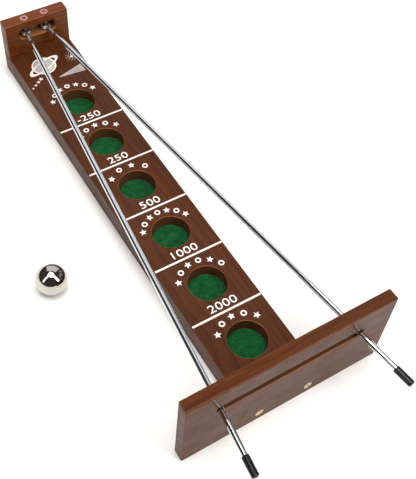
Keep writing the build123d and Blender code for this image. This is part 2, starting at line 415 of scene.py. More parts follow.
def close_up(mesh):
    """Merges doubled points, drops what that leaves without area, and turns the faces outwards."""
    work = bmesh.new()
    work.from_mesh(mesh)
    bmesh.ops.remove_doubles(work, verts=work.verts, dist=MERGE_DISTANCE)
    bmesh.ops.dissolve_degenerate(work, edges=work.edges, dist=MERGE_DISTANCE)
    bmesh.ops.recalc_face_normals(work, faces=work.faces)
    work.to_mesh(mesh)
    work.free()
    return mesh


def new_object(name, mesh):
    """Object of a mesh, light, camera or text, linked to the scene."""
    made = bpy.data.objects.new(name, mesh)
    bpy.context.scene.collection.objects.link(made)
    return made


def combine(piece, operation, *meshes):
    """Joins meshes to a piece, or cuts them from it, by exact booleans one after another."""
    for mesh in meshes:
        tool = new_object("tool", mesh)
        step = piece.modifiers.new("step", "BOOLEAN")
        step.object, step.operation, step.solver = tool, operation, "EXACT"
        bpy.context.view_layer.update()
        result = bpy.data.meshes.new_from_object(piece.evaluated_get(bpy.context.evaluated_depsgraph_get()))
        piece.modifiers.clear()
        piece.data = result
        bpy.data.objects.remove(tool)
    close_up(piece.data)
    return piece


def finish_piece(piece, material, node=None, body=None, sharp=35, weighted=True):
    """Shades a piece, gives it its material, and ties it to the frame."""
    mesh = piece.data
    mesh.name = piece.name
    mesh.materials.clear()
    mesh.materials.append(material)
    mesh.shade_smooth()
    mesh.set_sharp_from_angle(angle=math.radians(sharp))
    if weighted:
        soften = piece.modifiers.new("Weighted normals", "WEIGHTED_NORMAL")
        soften.keep_sharp = True
    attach(piece, body or body_of(node))
    if node:
        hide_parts(node)
    return piece


# ---- shader helpers ----


class Tree:
    """Adds nodes to a node tree in few words."""

    def __init__(self, nodes):
        self.nodes = nodes

    def add(self, kind, inputs=None, **fields):
        """Makes a node, sets its fields, and links or sets the inputs named by label or number."""
        made = self.nodes.nodes.new(kind)
        for field, value in fields.items():
            setattr(made, field, value)
        for key, value in (inputs or {}).items():
            if isinstance(value, bpy.types.NodeSocket):
                self.nodes.links.new(value, made.inputs[key])
            else:
                made.inputs[key].default_value = value
        return made

    def sums(self, operation, a, b=0.0, c=0.0):
        """A Math node's result."""
        return self.add("ShaderNodeMath", {0: a, 1: b, 2: c}, operation=operation).outputs[0]

    def times(self, a, b):
        """The product of two numbers."""
        return self.sums("MULTIPLY", a, b)

    def plus(self, a, b):
        """The sum of two numbers."""
        return self.sums("ADD", a, b)

    def minus(self, a, b):
        """The first number less the second."""
        return self.sums("SUBTRACT", a, b)

    def line(self, value, slope, start):
        """Value * slope + start."""
        return self.sums("MULTIPLY_ADD", value, slope, start)

    def fold(self, operation, first, *rest):
        """Several numbers joined by one operation."""
        return self.sums(operation, first, self.fold(operation, *rest) if len(rest) > 1 else rest[0])

    def length(self, vector):
        """Length of a vector."""
        return self.add("ShaderNodeVectorMath", {0: vector}, operation="LENGTH").outputs["Value"]

    def scaled(self, vector, share):
        """Vector times a number."""
        return self.add("ShaderNodeVectorMath", {0: vector, 3: share}, operation="SCALE").outputs[0]

    def vector(self, operation, a, b=(0, 0, 0)):
        """A Vector Math node's vector."""
        return self.add("ShaderNodeVectorMath", {0: a, 1: b}, operation=operation).outputs[0]

    def noise(self, vector, scale=1.0, detail=3.0, roughness=0.5, distortion=0.0):
        """Fractal noise, about 0.5 on average."""
        values = {"Vector": vector, "Scale": scale, "Detail": detail, "Roughness": roughness,
                  "Distortion": distortion}
        return self.add("ShaderNodeTexNoise", values).outputs[0]

    def spread(self, value, low, high, to_low=0.0, to_high=1.0, smooth=False):
        """Value stretched from one range to another, and held within it."""
        kind = "SMOOTHSTEP" if smooth else "LINEAR"
        values = {0: value, 1: low, 2: high, 3: to_low, 4: to_high}
        return self.add("ShaderNodeMapRange", values, interpolation_type=kind).outputs[0]

    def mix(self, factor, a, b):
        """Two colours mixed by a factor."""
        a, b = (x if isinstance(x, bpy.types.NodeSocket) else (*x, 1) for x in (a, b))
        values = {0: factor, 6: a, 7: b}
        return self.add("ShaderNodeMix", values, data_type="RGBA").outputs[2]

    def cover(self, colour, mask, share, other):
        """Colour covered by another, as far as a mask times a share."""
        return self.mix(self.times(mask, share), colour, other)

    def ramp(self, factor, *stops):
        """Colour ramp over (position, colour) stops."""
        made = self.add("ShaderNodeValToRGB", {0: factor})
        ramp = made.color_ramp
        while len(ramp.elements) < len(stops):
            ramp.elements.new(0.5)
        for element, (position, colour) in zip(ramp.elements, stops):
            element.position = position
            element.color = (*colour, 1)
        return made.outputs[0]

    def mapped(self, vector, location=(0, 0, 0), rotation=(0, 0, 0), scale=(1, 1, 1)):
        """Vector through a Mapping node."""
        values = {"Vector": vector, "Location": location, "Rotation": rotation, "Scale": scale}
        return self.add("ShaderNodeMapping", values).outputs[0]

    def streaks(self, vector, scale, rotation=(0, 0, 0), **values):
        """Noise drawn out into streaks, by a different scale along each axis."""
        return self.noise(self.mapped(vector, rotation=rotation, scale=scale), **values)

    def bump(self, height, distance, strength):
        """Normal bent by a height field of that depth."""
        values = {"Height": height, "Distance": distance, "Strength": strength}
        return self.add("ShaderNodeBump", values).outputs[0]

    def shared(self, maker, place, **values):
        """A shared node group at a place, made by its maker the first time that it is asked for."""
        name = maker.__name__.replace("_", " ").capitalize()
        inputs = {label.replace("_", " "): value for label, value in values.items()}
        group = bpy.data.node_groups.get(name) or maker(name)
        return self.add("ShaderNodeGroup", {"Vector": place, **inputs}, node_tree=group).outputs


def new_group(name, inputs, outputs):
    """Empty node group with a Vector input, more inputs and number outputs.

    It gives back the group's tree, its input sockets, and a function that links its outputs.
    """
    group = bpy.data.node_groups.new(name, "ShaderNodeTree")
    for label, default in {"Vector": (0.0, 0.0, 0.0), **inputs}.items():
        kind = "NodeSocketVector" if isinstance(default, tuple) else "NodeSocketFloat"
        group.interface.new_socket(label, in_out="INPUT", socket_type=kind).default_value = default
    for label in outputs:
        group.interface.new_socket(label, in_out="OUTPUT", socket_type="NodeSocketFloat")
    tree = Tree(group)
    given = tree.add("NodeGroupInput").outputs

    def give(**results):
        tree.add("NodeGroupOutput", results)
        return group

    return tree, given, give


def new_material(name, constants):
    """Material with one Principled shader whose uniform values are set on its own sockets."""
    made = bpy.data.materials.new(name)
    made.use_nodes = True
    tree = Tree(made.node_tree)
    made.node_tree.nodes.clear()
    shader = tree.add("ShaderNodeBsdfPrincipled", constants)
    tree.add("ShaderNodeOutputMaterial", {"Surface": shader.outputs[0]})
    place_in_frame = tree.add("ShaderNodeTexCoord").outputs["Object"]

    def feed(**sockets):
        for label, socket in sockets.items():
            made.node_tree.links.new(socket, shader.inputs[label.replace("_", " ")])
        return made

    return tree, place_in_frame, feed


# ---- shared effects ----


def timber_grain(name):
    """Grain along the first axis: growth rings about that axis, long fibres, soft bands and dark pores."""
    tree, given, give = new_group(name, {"Ring spacing": 0.003}, ("Tone", "Pores", "Height"))
    place_in = given["Vector"]
    wander = tree.streaks(place_in, (9, 38, 38), detail=2)
    across = tree.length(tree.mapped(place_in, scale=(0, 1, 1)))
    strayed = tree.plus(across, tree.times(wander, 0.012))
    phase = tree.sums("DIVIDE", strayed, given["Ring spacing"])
    saw = tree.sums("FRACT", phase)
    rings = tree.times(tree.sums("POWER", saw, 2.2), tree.spread(saw, 1.0, 0.86, smooth=True))
    fibres = tree.streaks(place_in, (45, 1500, 1500), detail=5, roughness=0.62)
    bands = tree.streaks(place_in, (10, 150, 150), detail=3, distortion=0.6)
    dashes = tree.streaks(place_in, (300, 3600, 3600), detail=2, roughness=0.4)
    pores = tree.spread(dashes, 0.62, 0.74, smooth=True)
    tone = tree.line(fibres, 0.9, tree.times(bands, 0.55))
    tone = tree.minus(tone, tree.times(rings, 0.28))
    height = tree.minus(tree.times(fibres, 0.4), tree.times(pores, 0.6))
    return give(Tone=tree.spread(tone, 0.34, 1.06), Pores=pores, Height=height)


def box_faces(name):
    """Masks on a box-shaped piece, from each point's depth below the box's three pairs of faces.

    Edge is 1 where the second least depth is near nought. Inside is 1 where the least depth is well above
    nought, as on the walls of a hole. Rim is 1 where the least depth is a fraction of a millimetre and the
    second least is not, as on the softened mouth of a hole.
    """
    inputs = {"Middle": (0.0, 0.0, 0.0), "Half": (1.0, 1.0, 1.0), "Width": 0.0012}
    tree, given, give = new_group(name, inputs, ("Edge", "Inside", "Rim"))
    offset = tree.vector("ABSOLUTE", tree.vector("SUBTRACT", given["Vector"], given["Middle"]))
    depth = tree.add("ShaderNodeSeparateXYZ", {0: tree.vector("SUBTRACT", given["Half"], offset)}).outputs
    least, most, total = (tree.fold(operation, *depth) for operation in ("MINIMUM", "MAXIMUM", "ADD"))
    second = tree.minus(total, tree.plus(least, most))
    patchy = tree.noise(given["Vector"], scale=240, detail=4, roughness=0.7)
    reach = tree.times(given["Width"], tree.spread(patchy, 0.35, 0.7, 0.25, 1.4))
    edge = tree.minus(1.0, tree.sums("DIVIDE", second, reach))
    inside = tree.spread(least, 0.25 * MM, 0.8 * MM, smooth=True)
    begun = tree.spread(least, 0.02 * MM, 0.10 * MM, smooth=True)
    ended = tree.spread(least, 0.30 * MM, 0.60 * MM, 1.0, 0.0, smooth=True)
    clear = tree.spread(second, 1.6 * MM, 2.4 * MM, smooth=True)
    rim = tree.times(clear, tree.times(begun, ended))
    return give(Edge=tree.spread(edge, 0.0, 1.0, smooth=True), Inside=inside, Rim=rim)


def handling(name):
    """What hands leave on a finish: cloudy smudges, fine scattered scratches and specks of dust."""
    tree, given, give = new_group(name, {"Size": 0.03}, ("Smudge", "Scratch", "Dust"))
    scaled = tree.scaled(given["Vector"], tree.sums("DIVIDE", 1.0, given["Size"]))
    smudge = tree.spread(tree.noise(scaled, detail=4, roughness=0.6, distortion=0.8), 0.35, 0.7)
    marks = []
    for heading in (0.35, 1.45, 2.5):
        lined = tree.streaks(given["Vector"], (28, 2400, 2400), (0.2, 0.3, heading), detail=1)
        marks.append(tree.spread(lined, 0.72, 0.80))
    scratch = tree.fold("MAXIMUM", *marks)
    specks = tree.add("ShaderNodeTexVoronoi", {"Vector": given["Vector"], "Scale": 420.0}).outputs[0]
    dust = tree.spread(specks, 0.12, 0.05)
    return give(Smudge=smudge, Scratch=scratch, Dust=dust)


# ---- materials ----


def shade_of(colour, gain, lift=0.0):
    """Colour * gain + lift, held at 1."""
    return tuple(float(c) for c in np.minimum(gain * np.array(colour) + lift, 1))


# Each timber part's CAD node, the point that its growth rings run round once its grain is turned, that
# turn about Z in radians, and the distance between its rings.
GRAIN = {
    "board": ("deck_board", (0.0, 0.045, 0.034), TURN / 4, 0.0042),
    "plate": ("front_plate", (0.03, 0.185, -0.02), 0.02, 0.0034),
    "block": ("pivot_block", (0.012, -0.17, -0.012), 0.05, 0.0038),
}


def timber_material(part, cut):
    """Stained timber under a satin lacquer, for a box-shaped part, with a lighter colour painted inside its
    holes as light on their shaded walls.
    """
    timber = bpy.context.scene.ball_game_timber
    dark, light = (tuple(getattr(timber, f"{part}_{tone}")) for tone in ("dark", "light"))
    node, heart, grain_turn, ring_spacing = GRAIN[part]
    low, high = corners(node)
    lacquer = {"Specular IOR Level": 0.05, "Coat Roughness": 0.14, "Coat IOR": 1.5}
    tree, here, feed = new_material(f"{part.capitalize()} timber", lacquer)
    along = tree.mapped(here, location=heart, rotation=(0, 0, grain_turn))
    grain = tree.shared(timber_grain, along, Ring_spacing=ring_spacing)
    faces = tree.shared(box_faces, here, Middle=tuple((low + high) / 2), Half=tuple((high - low) / 2))
    touch = tree.shared(handling, here, Size=0.028)
    middle = tuple(0.5 * (np.array(dark) + np.array(light)) * (1.0, 0.96, 0.94))
    stain = tree.ramp(grain["Tone"], (0.05, dark), (0.5, middle), (0.95, light))
    stain = tree.cover(stain, grain["Pores"], 0.55, shade_of(dark, 0.35))
    # Painted light: the hole colour lightens the shaded walls inside cups, slots and screw holes.
    stain = tree.cover(stain, faces["Inside"], 0.75, cut)
    stain = tree.cover(stain, faces["Edge"], 0.32, shade_of(light, 1.6, 0.01))
    # Partly worn bare timber and partly a painted highlight: a pale ring along the softened mouth of each
    # hole.
    stain = tree.cover(stain, faces["Rim"], 0.80, shade_of(light, 2.6, (0.03, 0.025, 0.012)))
    rough = tree.line(touch["Smudge"], 0.16, 0.36)
    rough = tree.line(faces["Inside"], 0.25, rough)
    coat = tree.minus(0.24, tree.times(faces["Inside"], 0.16))
    coat = tree.minus(coat, tree.times(touch["Smudge"], 0.06))
    height = tree.minus(grain["Height"], tree.times(touch["Scratch"], 0.25))
    normal = tree.bump(height, 0.05 * MM, 0.55)
    return feed(Base_Color=stain, Roughness=rough, Coat_Weight=coat, Normal=normal)


def metal_material(name, colour, roughness, cloud, tarnish, painted_shade=None):
    """Metal whose polish is clouded by handling and faintly scratched.

    Painted shade, if given, makes a mask from the tree and the place, and the metal is painted nearly black
    there as shade.
    """
    tree, here, feed = new_material(name, {"Metallic": 1.0})
    touch = tree.shared(handling, here, Size=0.012)
    shade = tree.cover(colour, touch["Smudge"], tarnish, shade_of(colour, 0.72))
    shade = tree.cover(shade, touch["Dust"], 0.10, (0.45, 0.43, 0.40))
    rough = tree.line(touch["Smudge"], cloud, roughness)
    rough = tree.line(touch["Scratch"], 0.10, rough)
    if painted_shade:
        shade_mask = painted_shade(tree, here)
        # Painted shade: the metal goes nearly black where the mask rises.
        shade = tree.cover(shade, shade_mask, 0.85, (0.060, 0.054, 0.050))
        rough = tree.line(shade_mask, 0.12, rough)
    fine = tree.noise(here, scale=900, detail=2)
    height = tree.minus(tree.times(fine, 0.3), touch["Scratch"])
    normal = tree.bump(height, 0.004 * MM, 0.35)
    return feed(Base_Color=shade, Roughness=rough, Normal=normal)


def past_the_ring(tree, here):
    """Mask of painted shade on an eye's boss and threaded neck, rising past the ring with the distance to its
    pivot: hypot(|x| - pivot x, y - pivot y).
    """
    pivot = pivot_of("right")
    folded = tree.vector("ABSOLUTE", tree.mapped(here, scale=(1, 0, 0)))
    level = tree.vector("ADD", folded, tree.mapped(here, scale=(0, 1, 0)))
    offset = tree.vector("SUBTRACT", level, (pivot[0], pivot[1], 0))
    return tree.spread(tree.length(offset), 5.4 * MM, 7.0 * MM, smooth=True)


def below_the_head(tree, here):
    """Mask of painted shade on a pivot screw's shank, rising below the screw's head, from the height alone.
    """
    top = corners("pivot_block")[1][2]
    height = tree.add("ShaderNodeSeparateXYZ", {0: here}).outputs[2]
    return tree.spread(height, top - 3.0 * MM, top - 1.6 * MM, 1.0, 0.0, smooth=True)


def plastic_material(colour):
    """Glossy moulded plastic with a faint orange-peel skin, smudges and rubbed patches."""
    tree, here, feed = new_material("Grip plastic", {"IOR": 1.5, "Specular IOR Level": 0.28})
    touch = tree.shared(handling, here, Size=0.008)
    shade = tree.cover(colour, touch["Smudge"], 0.5, shade_of(colour, 1.0, 0.012))
    shade = tree.cover(shade, touch["Dust"], 0.25, (0.12, 0.115, 0.11))
    rough = tree.line(touch["Smudge"], 0.14, 0.20)
    skin = tree.noise(here, scale=2400, detail=2)
    height = tree.minus(tree.times(skin, 0.5), touch["Scratch"])
    normal = tree.bump(height, 0.01 * MM, 0.5)
    return feed(Base_Color=shade, Roughness=rough, Normal=normal)


def felt_material(deep, light):
    """Pressed wool: matted fibres in two greens, with pale lint and a soft sheen."""
    sheen = {"Sheen Weight": 0.22, "Sheen Roughness": 0.5, "Sheen Tint": (0.45, 0.75, 0.5, 1)}
    tree, here, feed = new_material("Green felt", {"Specular IOR Level": 0.15, **sheen})
    wander = tree.add("ShaderNodeTexNoise", {"Vector": here, "Scale": 260.0, "Detail": 2.0}).outputs[1]
    bent = tree.vector("ADD", here, tree.scaled(wander, 0.004))
    strands = [
        tree.streaks(bent, (500, 3200, 900), (0, 0, heading), detail=3, roughness=0.6)
        for heading in (0.2, 1.3, 2.3)
    ]
    matted = tree.fold("MAXIMUM", *strands)
    blotch = tree.noise(here, scale=180, detail=3)
    tone = tree.line(blotch, 1.1, tree.spread(matted, 0.48, 0.74))
    shade = tree.ramp(tree.spread(tone, 0.50, 1.35), (0.0, deep), (1.0, light))
    lint = tree.spread(tree.streaks(bent, (700, 2600, 900), detail=1), 0.74, 0.80)
    shade = tree.cover(shade, lint, 0.35, (0.10, 0.26, 0.14))
    rough = tree.spread(matted, 0.4, 0.8, 1.0, 0.82)
    normal = tree.bump(matted, 0.25 * MM, 0.8)
    return feed(Base_Color=shade, Roughness=rough, Normal=normal)


def ink_material(name, colour, grit):
    """Screen-printed ink: thin and slightly uneven, with the timber's tone showing through in specks."""
    tree, here, feed = new_material(name, {"Specular IOR Level": 0.3})
    touch = tree.shared(handling, here, Size=0.02)
    cover = tree.noise(here, scale=1500, detail=3, roughness=0.65)
    thin = tree.spread(cover, 0.60, 0.74)
    shade = tree.cover(colour, thin, grit, shade_of(colour, 0.35))
    shade = tree.cover(shade, touch["Smudge"], 0.12, (0.52, 0.44, 0.38))
    shade = tree.cover(shade, touch["Scratch"], 0.35, (0.20, 0.12, 0.08))
    rough = tree.line(touch["Smudge"], 0.2, 0.42)
    normal = tree.bump(cover, 0.02 * MM, 0.4)
    return feed(Base_Color=shade, Roughness=rough, Normal=normal)


def known(name):
    """A material that an earlier operator made."""
    return bpy.data.materials[name]


# ---- screws ----

# Millimetres across head and shank, thread from and to below the head, and degrees of each side's cross.
SCREWS = {
    "pivot_screw": {"head": 7.6, "shank": 4.0, "thread": (20.0, 27.0), "cross": (24.0, 55.2)},
    "plate_screw": {"head": 7.0, "shank": 3.6, "thread": (12.0, 30.0), "cross": (8.0, 18.4)},
    "block_screw": {"head": 7.0, "shank": 3.6, "thread": (14.0, 32.0), "cross": (51.0, 117.3)},
}
SCREW_PITCH = 1.3 * MM
SCREW_THREAD_DEPTH = 0.5 * MM
SCREW_ROW_STEP = 0.22 * MM
HEAD_LAND = 0.4 * MM
TIP_LENGTH = 5.0 * MM
CROSS_WIDTH = 1.1 * MM
CROSS_SPAN = 0.62  # of the head
CROSS_DEPTH = 1.5 * MM
SCREW_OUTWARDS = {"pivot_screw": (0, 0, 1), "plate_screw": (0, -1, 0), "block_screw": (0, 0, -1)}


def screw_seat(kind, side):
    """The middle of a screw head's flat face, the direction it looks in, and the screw's length."""
    low, high = corners(f"{side}_{kind}")
    outwards = np.array(SCREW_OUTWARDS[kind], float)
    middle, half = (low + high) / 2, (high - low) / 2
    reach = float(np.abs(half @ outwards))
    return middle + outwards * reach, outwards, 2 * reach


def screw_profile(kind, length):
    """Half outline of a countersunk screw, from the head's face down to the point, as (radius, height).

    The cone falls at 45 degrees from the head's land to the shank.
    """
    head, shank = (SCREWS[kind][part] / 2 * MM for part in ("head", "shank"))
    land = HEAD_LAND
    cone = land + head - shank
    rounding = 0.12 * MM
    start, end = (-value * MM for value in SCREWS[kind]["thread"])
    rows = np.arange(start, end, -SCREW_ROW_STEP)
    return np.vstack([
        [(0, 0.0), (head - 2 * rounding, 0.0)],
        arc((head - rounding, -rounding), rounding, 90, 0, 3),
        [(head, -land), (shank, -cone), (shank, start + 0.5 * MM)],
        np.stack([np.full_like(rows, shank), rows], -1),
        [(shank, -length + TIP_LENGTH), (0.25 * MM, -length + 0.15 * MM), (0, -length)],
    ])


def screw_hole(kind, side):
    """Mesh that cuts a screw's countersink and shank hole, open at the head's face."""
    seat, outwards, length = screw_seat(kind, side)
    head, shank = (SCREWS[kind][part] / 2 * MM for part in ("head", "shank"))
    mouth, bore = head + 0.25 * MM, shank + 0.05 * MM
    over, flare, land = BOOLEAN_OVERRUN, mouth + 0.1 * MM, -HEAD_LAND
    profile = [(0, over), (flare, over), (flare, 0.12 * MM), (mouth, -0.1 * MM), (mouth, land),
               (bore, land - mouth + bore), (bore, -length), (0, -length - 0.3 * MM)]
    return mesh_from(place(lathe(profile, 48), seat, outwards))


def screw_holes(*kinds):
    """Meshes that cut both sides' holes for some kinds of screw."""
    return [screw_hole(kind, side) for kind in kinds for side in SIDES]


def build_screws(kind, material):
    """One pair of screws: a threaded lathe with a cross recess cut into its head."""
    facts = SCREWS[kind]
    start, end = facts["thread"]
    for side, cross in zip(SIDES, facts["cross"]):
        seat, outwards, length = screw_seat(kind, side)
        grid = threaded(
            screw_profile(kind, length), 40, SCREW_PITCH, SCREW_THREAD_DEPTH, -end * MM, -start * MM
        )
        node = f"{side}_{kind}"
        piece = new_object(f"{kind}_{side}", mesh_from(place(grid, seat, outwards)))
        span = CROSS_SPAN * facts["head"] * MM
        profile = [(0.10 * MM, 0.5 * MM), (0.10 * MM, 0.05 * MM), (0, -0.08 * MM), (-0.22 * MM, -CROSS_DEPTH)]
        bar = carry(rounded_rectangle(span, CROSS_WIDTH, 0.3 * MM, 3), profile)
        lean = math.radians(cross)
        bars = [place(turned(bar, lean + quarter), seat, outwards) for quarter in (0, TURN / 4)]
        combine(piece, "DIFFERENCE", *[mesh_from(grid) for grid in bars])
        finish_piece(piece, material, node, sharp=30)


# ---- timber ----


class BALLGAME_OT_board(bpy.types.Operator):
    """Board: a rounded box with a row of blind cups whose rims are softened."""

    bl_idname = "ball_game.board"
    bl_label = "Board"

    def execute(self, context):
        timber = context.scene.ball_game_timber
        piece = new_object("board", mesh_from(rounded_box(BOARD_LOW, BOARD_HIGH, timber.board_round)))
        cups = mesh_from(*[self.cup(timber, node) for node in numbered("felt_disc")])
        combine(piece, "DIFFERENCE", cups)
        combine(piece, "DIFFERENCE", *screw_holes("plate_screw", "block_screw"))
        # The walls of the cups and screw holes are painted lighter, as light on their shade.
        finish_piece(piece, timber_material("board", timber.cut_timber), "deck_board")
        return {"FINISHED"}

    @staticmethod
    def cup(timber, node):
        """A cup's grid: floor, small fillet, upright wall, and a lip that flares by a quarter round."""
        low, high = corners(node)
        middle, radius = (low + high) / 2, (high[0] - low[0]) / 2 + timber.felt_gap
        lip, fillet = timber.cup_lip, 0.4 * MM
        profile = np.vstack([
            [(0, low[2])],
            arc((radius - fillet, low[2] + fillet), fillet, -90, 0, 4),
            arc((radius + lip, BOARD_TOP - lip), lip, 180, 98, 6),
            [(radius + lip + 0.3 * MM, BOARD_TOP + 0.1 * MM)],
            [(radius + lip + 0.3 * MM, BOARD_TOP + BOOLEAN_OVERRUN), (0, BOARD_TOP + BOOLEAN_OVERRUN)],
        ])
        return lathe(profile, 120) + (middle[0], middle[1], 0)


class BALLGAME_OT_front_plate(bpy.types.Operator):
    """Front plate: a rounded box with one long slot, softened on both faces, and two countersinks."""

    bl_idname = "ball_game.front_plate"
    bl_label = "Front plate"

    def execute(self, context):
        timber = context.scene.ball_game_timber
        low, high = corners("front_plate")
        piece = new_object("plate", mesh_from(rounded_box(low, high, timber.plate_round)))
        middle = ((low + high) / 2) * (1, 1, 0) + (0, 0, timber.slot_floor + timber.slot_height / 2)
        half, lip = (high[1] - low[1]) / 2, timber.slot_lip
        mouth = np.vstack([
            [(lip + 0.3 * MM, half + BOOLEAN_OVERRUN), (lip + 0.3 * MM, half + 0.1 * MM)],
            arc((lip, half - lip), lip, 98, 180, 5),
        ])
        profile = np.vstack([mouth, mouth[::-1] * (1, -1)])
        outline = rounded_rectangle(timber.slot_length, timber.slot_height, timber.slot_height / 2, 12)
        slot = mesh_from(place(carry(outline, profile), middle, (0, -1, 0)))
        combine(piece, "DIFFERENCE", slot, *screw_holes("plate_screw"))
        # The walls of the slot and screw holes are painted lighter, as light on their shade.
        finish_piece(piece, timber_material("plate", timber.cut_timber), "front_plate")
        return {"FINISHED"}


class BALLGAME_OT_pivot_block(bpy.types.Operator):
    """Pivot block: a rounded box with one round-cornered blind slot and holes for its upright screws."""

    bl_idname = "ball_game.pivot_block"
    bl_label = "Pivot block"

    def execute(self, context):
        timber = context.scene.ball_game_timber
        low, high = corners("pivot_block")
        shape = rounded_box(low, high, timber.block_round, timber.foot_round)
        piece = new_object("block", mesh_from(shape))
        height = BOARD_TOP + timber.block_slot_floor + timber.block_slot_height / 2
        lip, fillet = 0.35 * MM, 0.3 * MM
        profile = np.vstack([
            [(lip + 0.2 * MM, BOOLEAN_OVERRUN), (lip + 0.2 * MM, 0.1 * MM)],
            arc((lip, -lip), lip, 98, 180, 5),
            arc((-fillet, -timber.block_slot_depth + fillet), fillet, 0, -90, 4),
        ])
        outline = rounded_rectangle(
            timber.block_slot_length, timber.block_slot_height, timber.block_slot_corner, 10
        )
        slot = place(carry(outline, profile), ((low[0] + high[0]) / 2, low[1], height), (0, -1, 0))
        combine(piece, "DIFFERENCE", mesh_from(slot))
        combine(piece, "DIFFERENCE", *screw_holes("pivot_screw", "block_screw"))
        # The block's slot and holes take the pale slot colour: guessed bare timber plus painted light.
        finish_piece(piece, timber_material("block", timber.bare_timber), "pivot_block")
        return {"FINISHED"}


# ---- felt ----


class BALLGAME_OT_felts(bpy.types.Operator):
    """Felt discs: each a flat round pad whose top and edge swell and dip by smooth noise."""

    fine_height, fine_wavelength = 0.10 * MM, 2.2 * MM
    broad_height, broad_wavelength = 0.16 * MM, 11 * MM
    edge_share = 0.006

    bl_idname = "ball_game.felts"
    bl_label = "Felt discs"

    def execute(self, context):
        ink = context.scene.ball_game_print
        material = felt_material(ink.felt_deep, ink.felt_light)
        for seed, node in enumerate(numbered("felt_disc")):
            low, high = corners(node)
            middle, radius, thick = (low + high) / 2, (high[0] - low[0]) / 2, high[2] - low[2]
            share = np.linspace(1, 0, 34) ** 0.8
            top = np.stack([radius * share, np.full_like(share, thick)], -1)
            profile = np.vstack([[(0, 0), (radius - 0.2 * MM, 0)], [(radius, 0.35 * thick)], top])
            profile[3:5, 1] -= (0.28 * MM, 0.06 * MM)
            grid = lathe(profile, 150)
            uneven = self.fine_height * ripple(grid, self.fine_wavelength, seed)
            uneven += self.broad_height * ripple(grid, self.broad_wavelength, seed + 50)
            grid[3:, :, 2] += uneven[3:]
            squeeze = 1 - self.edge_share * (1 + ripple(grid[2] / radius, 0.5, seed + 90))
            grid[1:5, :, :2] *= squeeze[None, :, None]
            grid[-1] = grid[-1].mean(0)
            piece = new_object(f"felt_{seed + 1}", mesh_from(grid + (middle[0], middle[1], low[2])))
            finish_piece(piece, material, node, sharp=80, weighted=False)
        return {"FINISHED"}


# ---- rods, eyes, caps and ball ----

# Distances from the pivot: boss from and to, neck from; thread from and to, and the step of its rows.
NECK_STATIONS = 3.3 * MM, 5.2 * MM, 7.4 * MM
NECK_THREAD = 7.6 * MM, 17.4 * MM, 0.1 * MM
EYE_SECTION_ROUND = 1.15 * MM


class BALLGAME_OT_rods(bpy.types.Operator):
    """Rods: each a lathe along its own line, chamfered at both ends and bored for its eye's neck."""

    bl_idname = "ball_game.rods"
    bl_label = "Rods"

    def execute(self, context):
        metal = context.scene.ball_game_metal
        chrome = metal_material("Chrome plate", metal.chrome, 0.045, 0.07, 0.25)
        for side in SIDES:
            distance = rod_line(side)[1]
            start, end = metal.rod_start, 2 * distance - metal.rod_start
            bore, radius, edge = metal.neck_radius + 0.02 * MM, metal.rod_radius, 0.35 * MM
            profile = np.vstack([
                [(0, start + metal.rod_bore_depth), (bore, start + metal.rod_bore_depth - bore / 2)],
                [(bore, start + 0.2 * MM), (bore + 0.15 * MM, start)],
                arc((radius - edge, start + edge), edge, -90, 0, 5),
                arc((radius - edge, end - edge), edge, 0, 90, 5),
                [(0, end)],
            ])
            node = f"{side}_rod"
            piece = new_object(f"rod_{side}", mesh_from(on_rod(side, lathe(profile, 72))))
            finish_piece(piece, chrome, node)
        return {"FINISHED"}


class BALLGAME_OT_eyes(bpy.types.Operator):
    """Eyes: a ring with a rounded section, joined to a boss and a threaded neck along the rod's line."""

    bl_idname = "ball_game.eyes"
    bl_label = "Rod eyes"

    def execute(self, context):
        metal = context.scene.ball_game_metal
        # The eyes' bosses and necks are painted dark as shade.
        material = metal_material("Eye steel", metal.eye_steel, 0.32, 0.08, 0.15, past_the_ring)
        for side in SIDES:
            width = metal.eye_radius - metal.eye_bore
            points, _ = rounded_rectangle(width, metal.eye_height, EYE_SECTION_ROUND, 7)
            section = points + ((metal.eye_radius + metal.eye_bore) / 2, 0)
            ring = lathe(section, 80) + pivot_of(side)
            neck_end = metal.rod_start + metal.rod_bore_depth - 0.6 * MM
            boss_start, boss_end, neck_start = NECK_STATIONS
            thread_start, thread_end, step = NECK_THREAD
            rows = np.arange(thread_start, thread_end, step)
            profile = np.vstack([
                [(0, boss_start), (metal.boss_radius, boss_start), (metal.boss_radius, boss_end)],
                [(metal.neck_radius, neck_start)],
                np.stack([np.full_like(rows, metal.neck_radius), rows], -1),
                [(metal.neck_radius, neck_end - 0.3 * MM), (0, neck_end)],
            ])
            neck = threaded(profile, 40, metal.thread_pitch, metal.thread_depth, thread_start, thread_end)
            node = f"{side}_rod_eye"
            piece = new_object(f"eye_{side}", mesh_from(ring, closed_section=True))
            combine(piece, "UNION", mesh_from(on_rod(side, neck)))
            finish_piece(piece, material, node)
        return {"FINISHED"}


class BALLGAME_OT_washers(bpy.types.Operator):
    """Washers: a flat ring with a rounded section under each eye."""

    bl_idname = "ball_game.washers"
    bl_label = "Washers"

    def execute(self, context):
        metal = context.scene.ball_game_metal
        material = metal_material("Zinc plate", metal.zinc, 0.28, 0.15, 0.5)
        for side in SIDES:
            node = f"{side}_pivot_washer"
            low, high = corners(node)
            outer, thick = (high[0] - low[0]) / 2, high[2] - low[2]
            points, _ = rounded_rectangle(outer - metal.eye_bore, thick, 0.15 * MM, 3)
            section = points + ((outer + metal.eye_bore) / 2, 0)
            grid = lathe(section, 64) + (low + high) / 2
            piece = new_object(f"washer_{side}", mesh_from(grid, closed_section=True))
            finish_piece(piece, material, node)
        return {"FINISHED"}


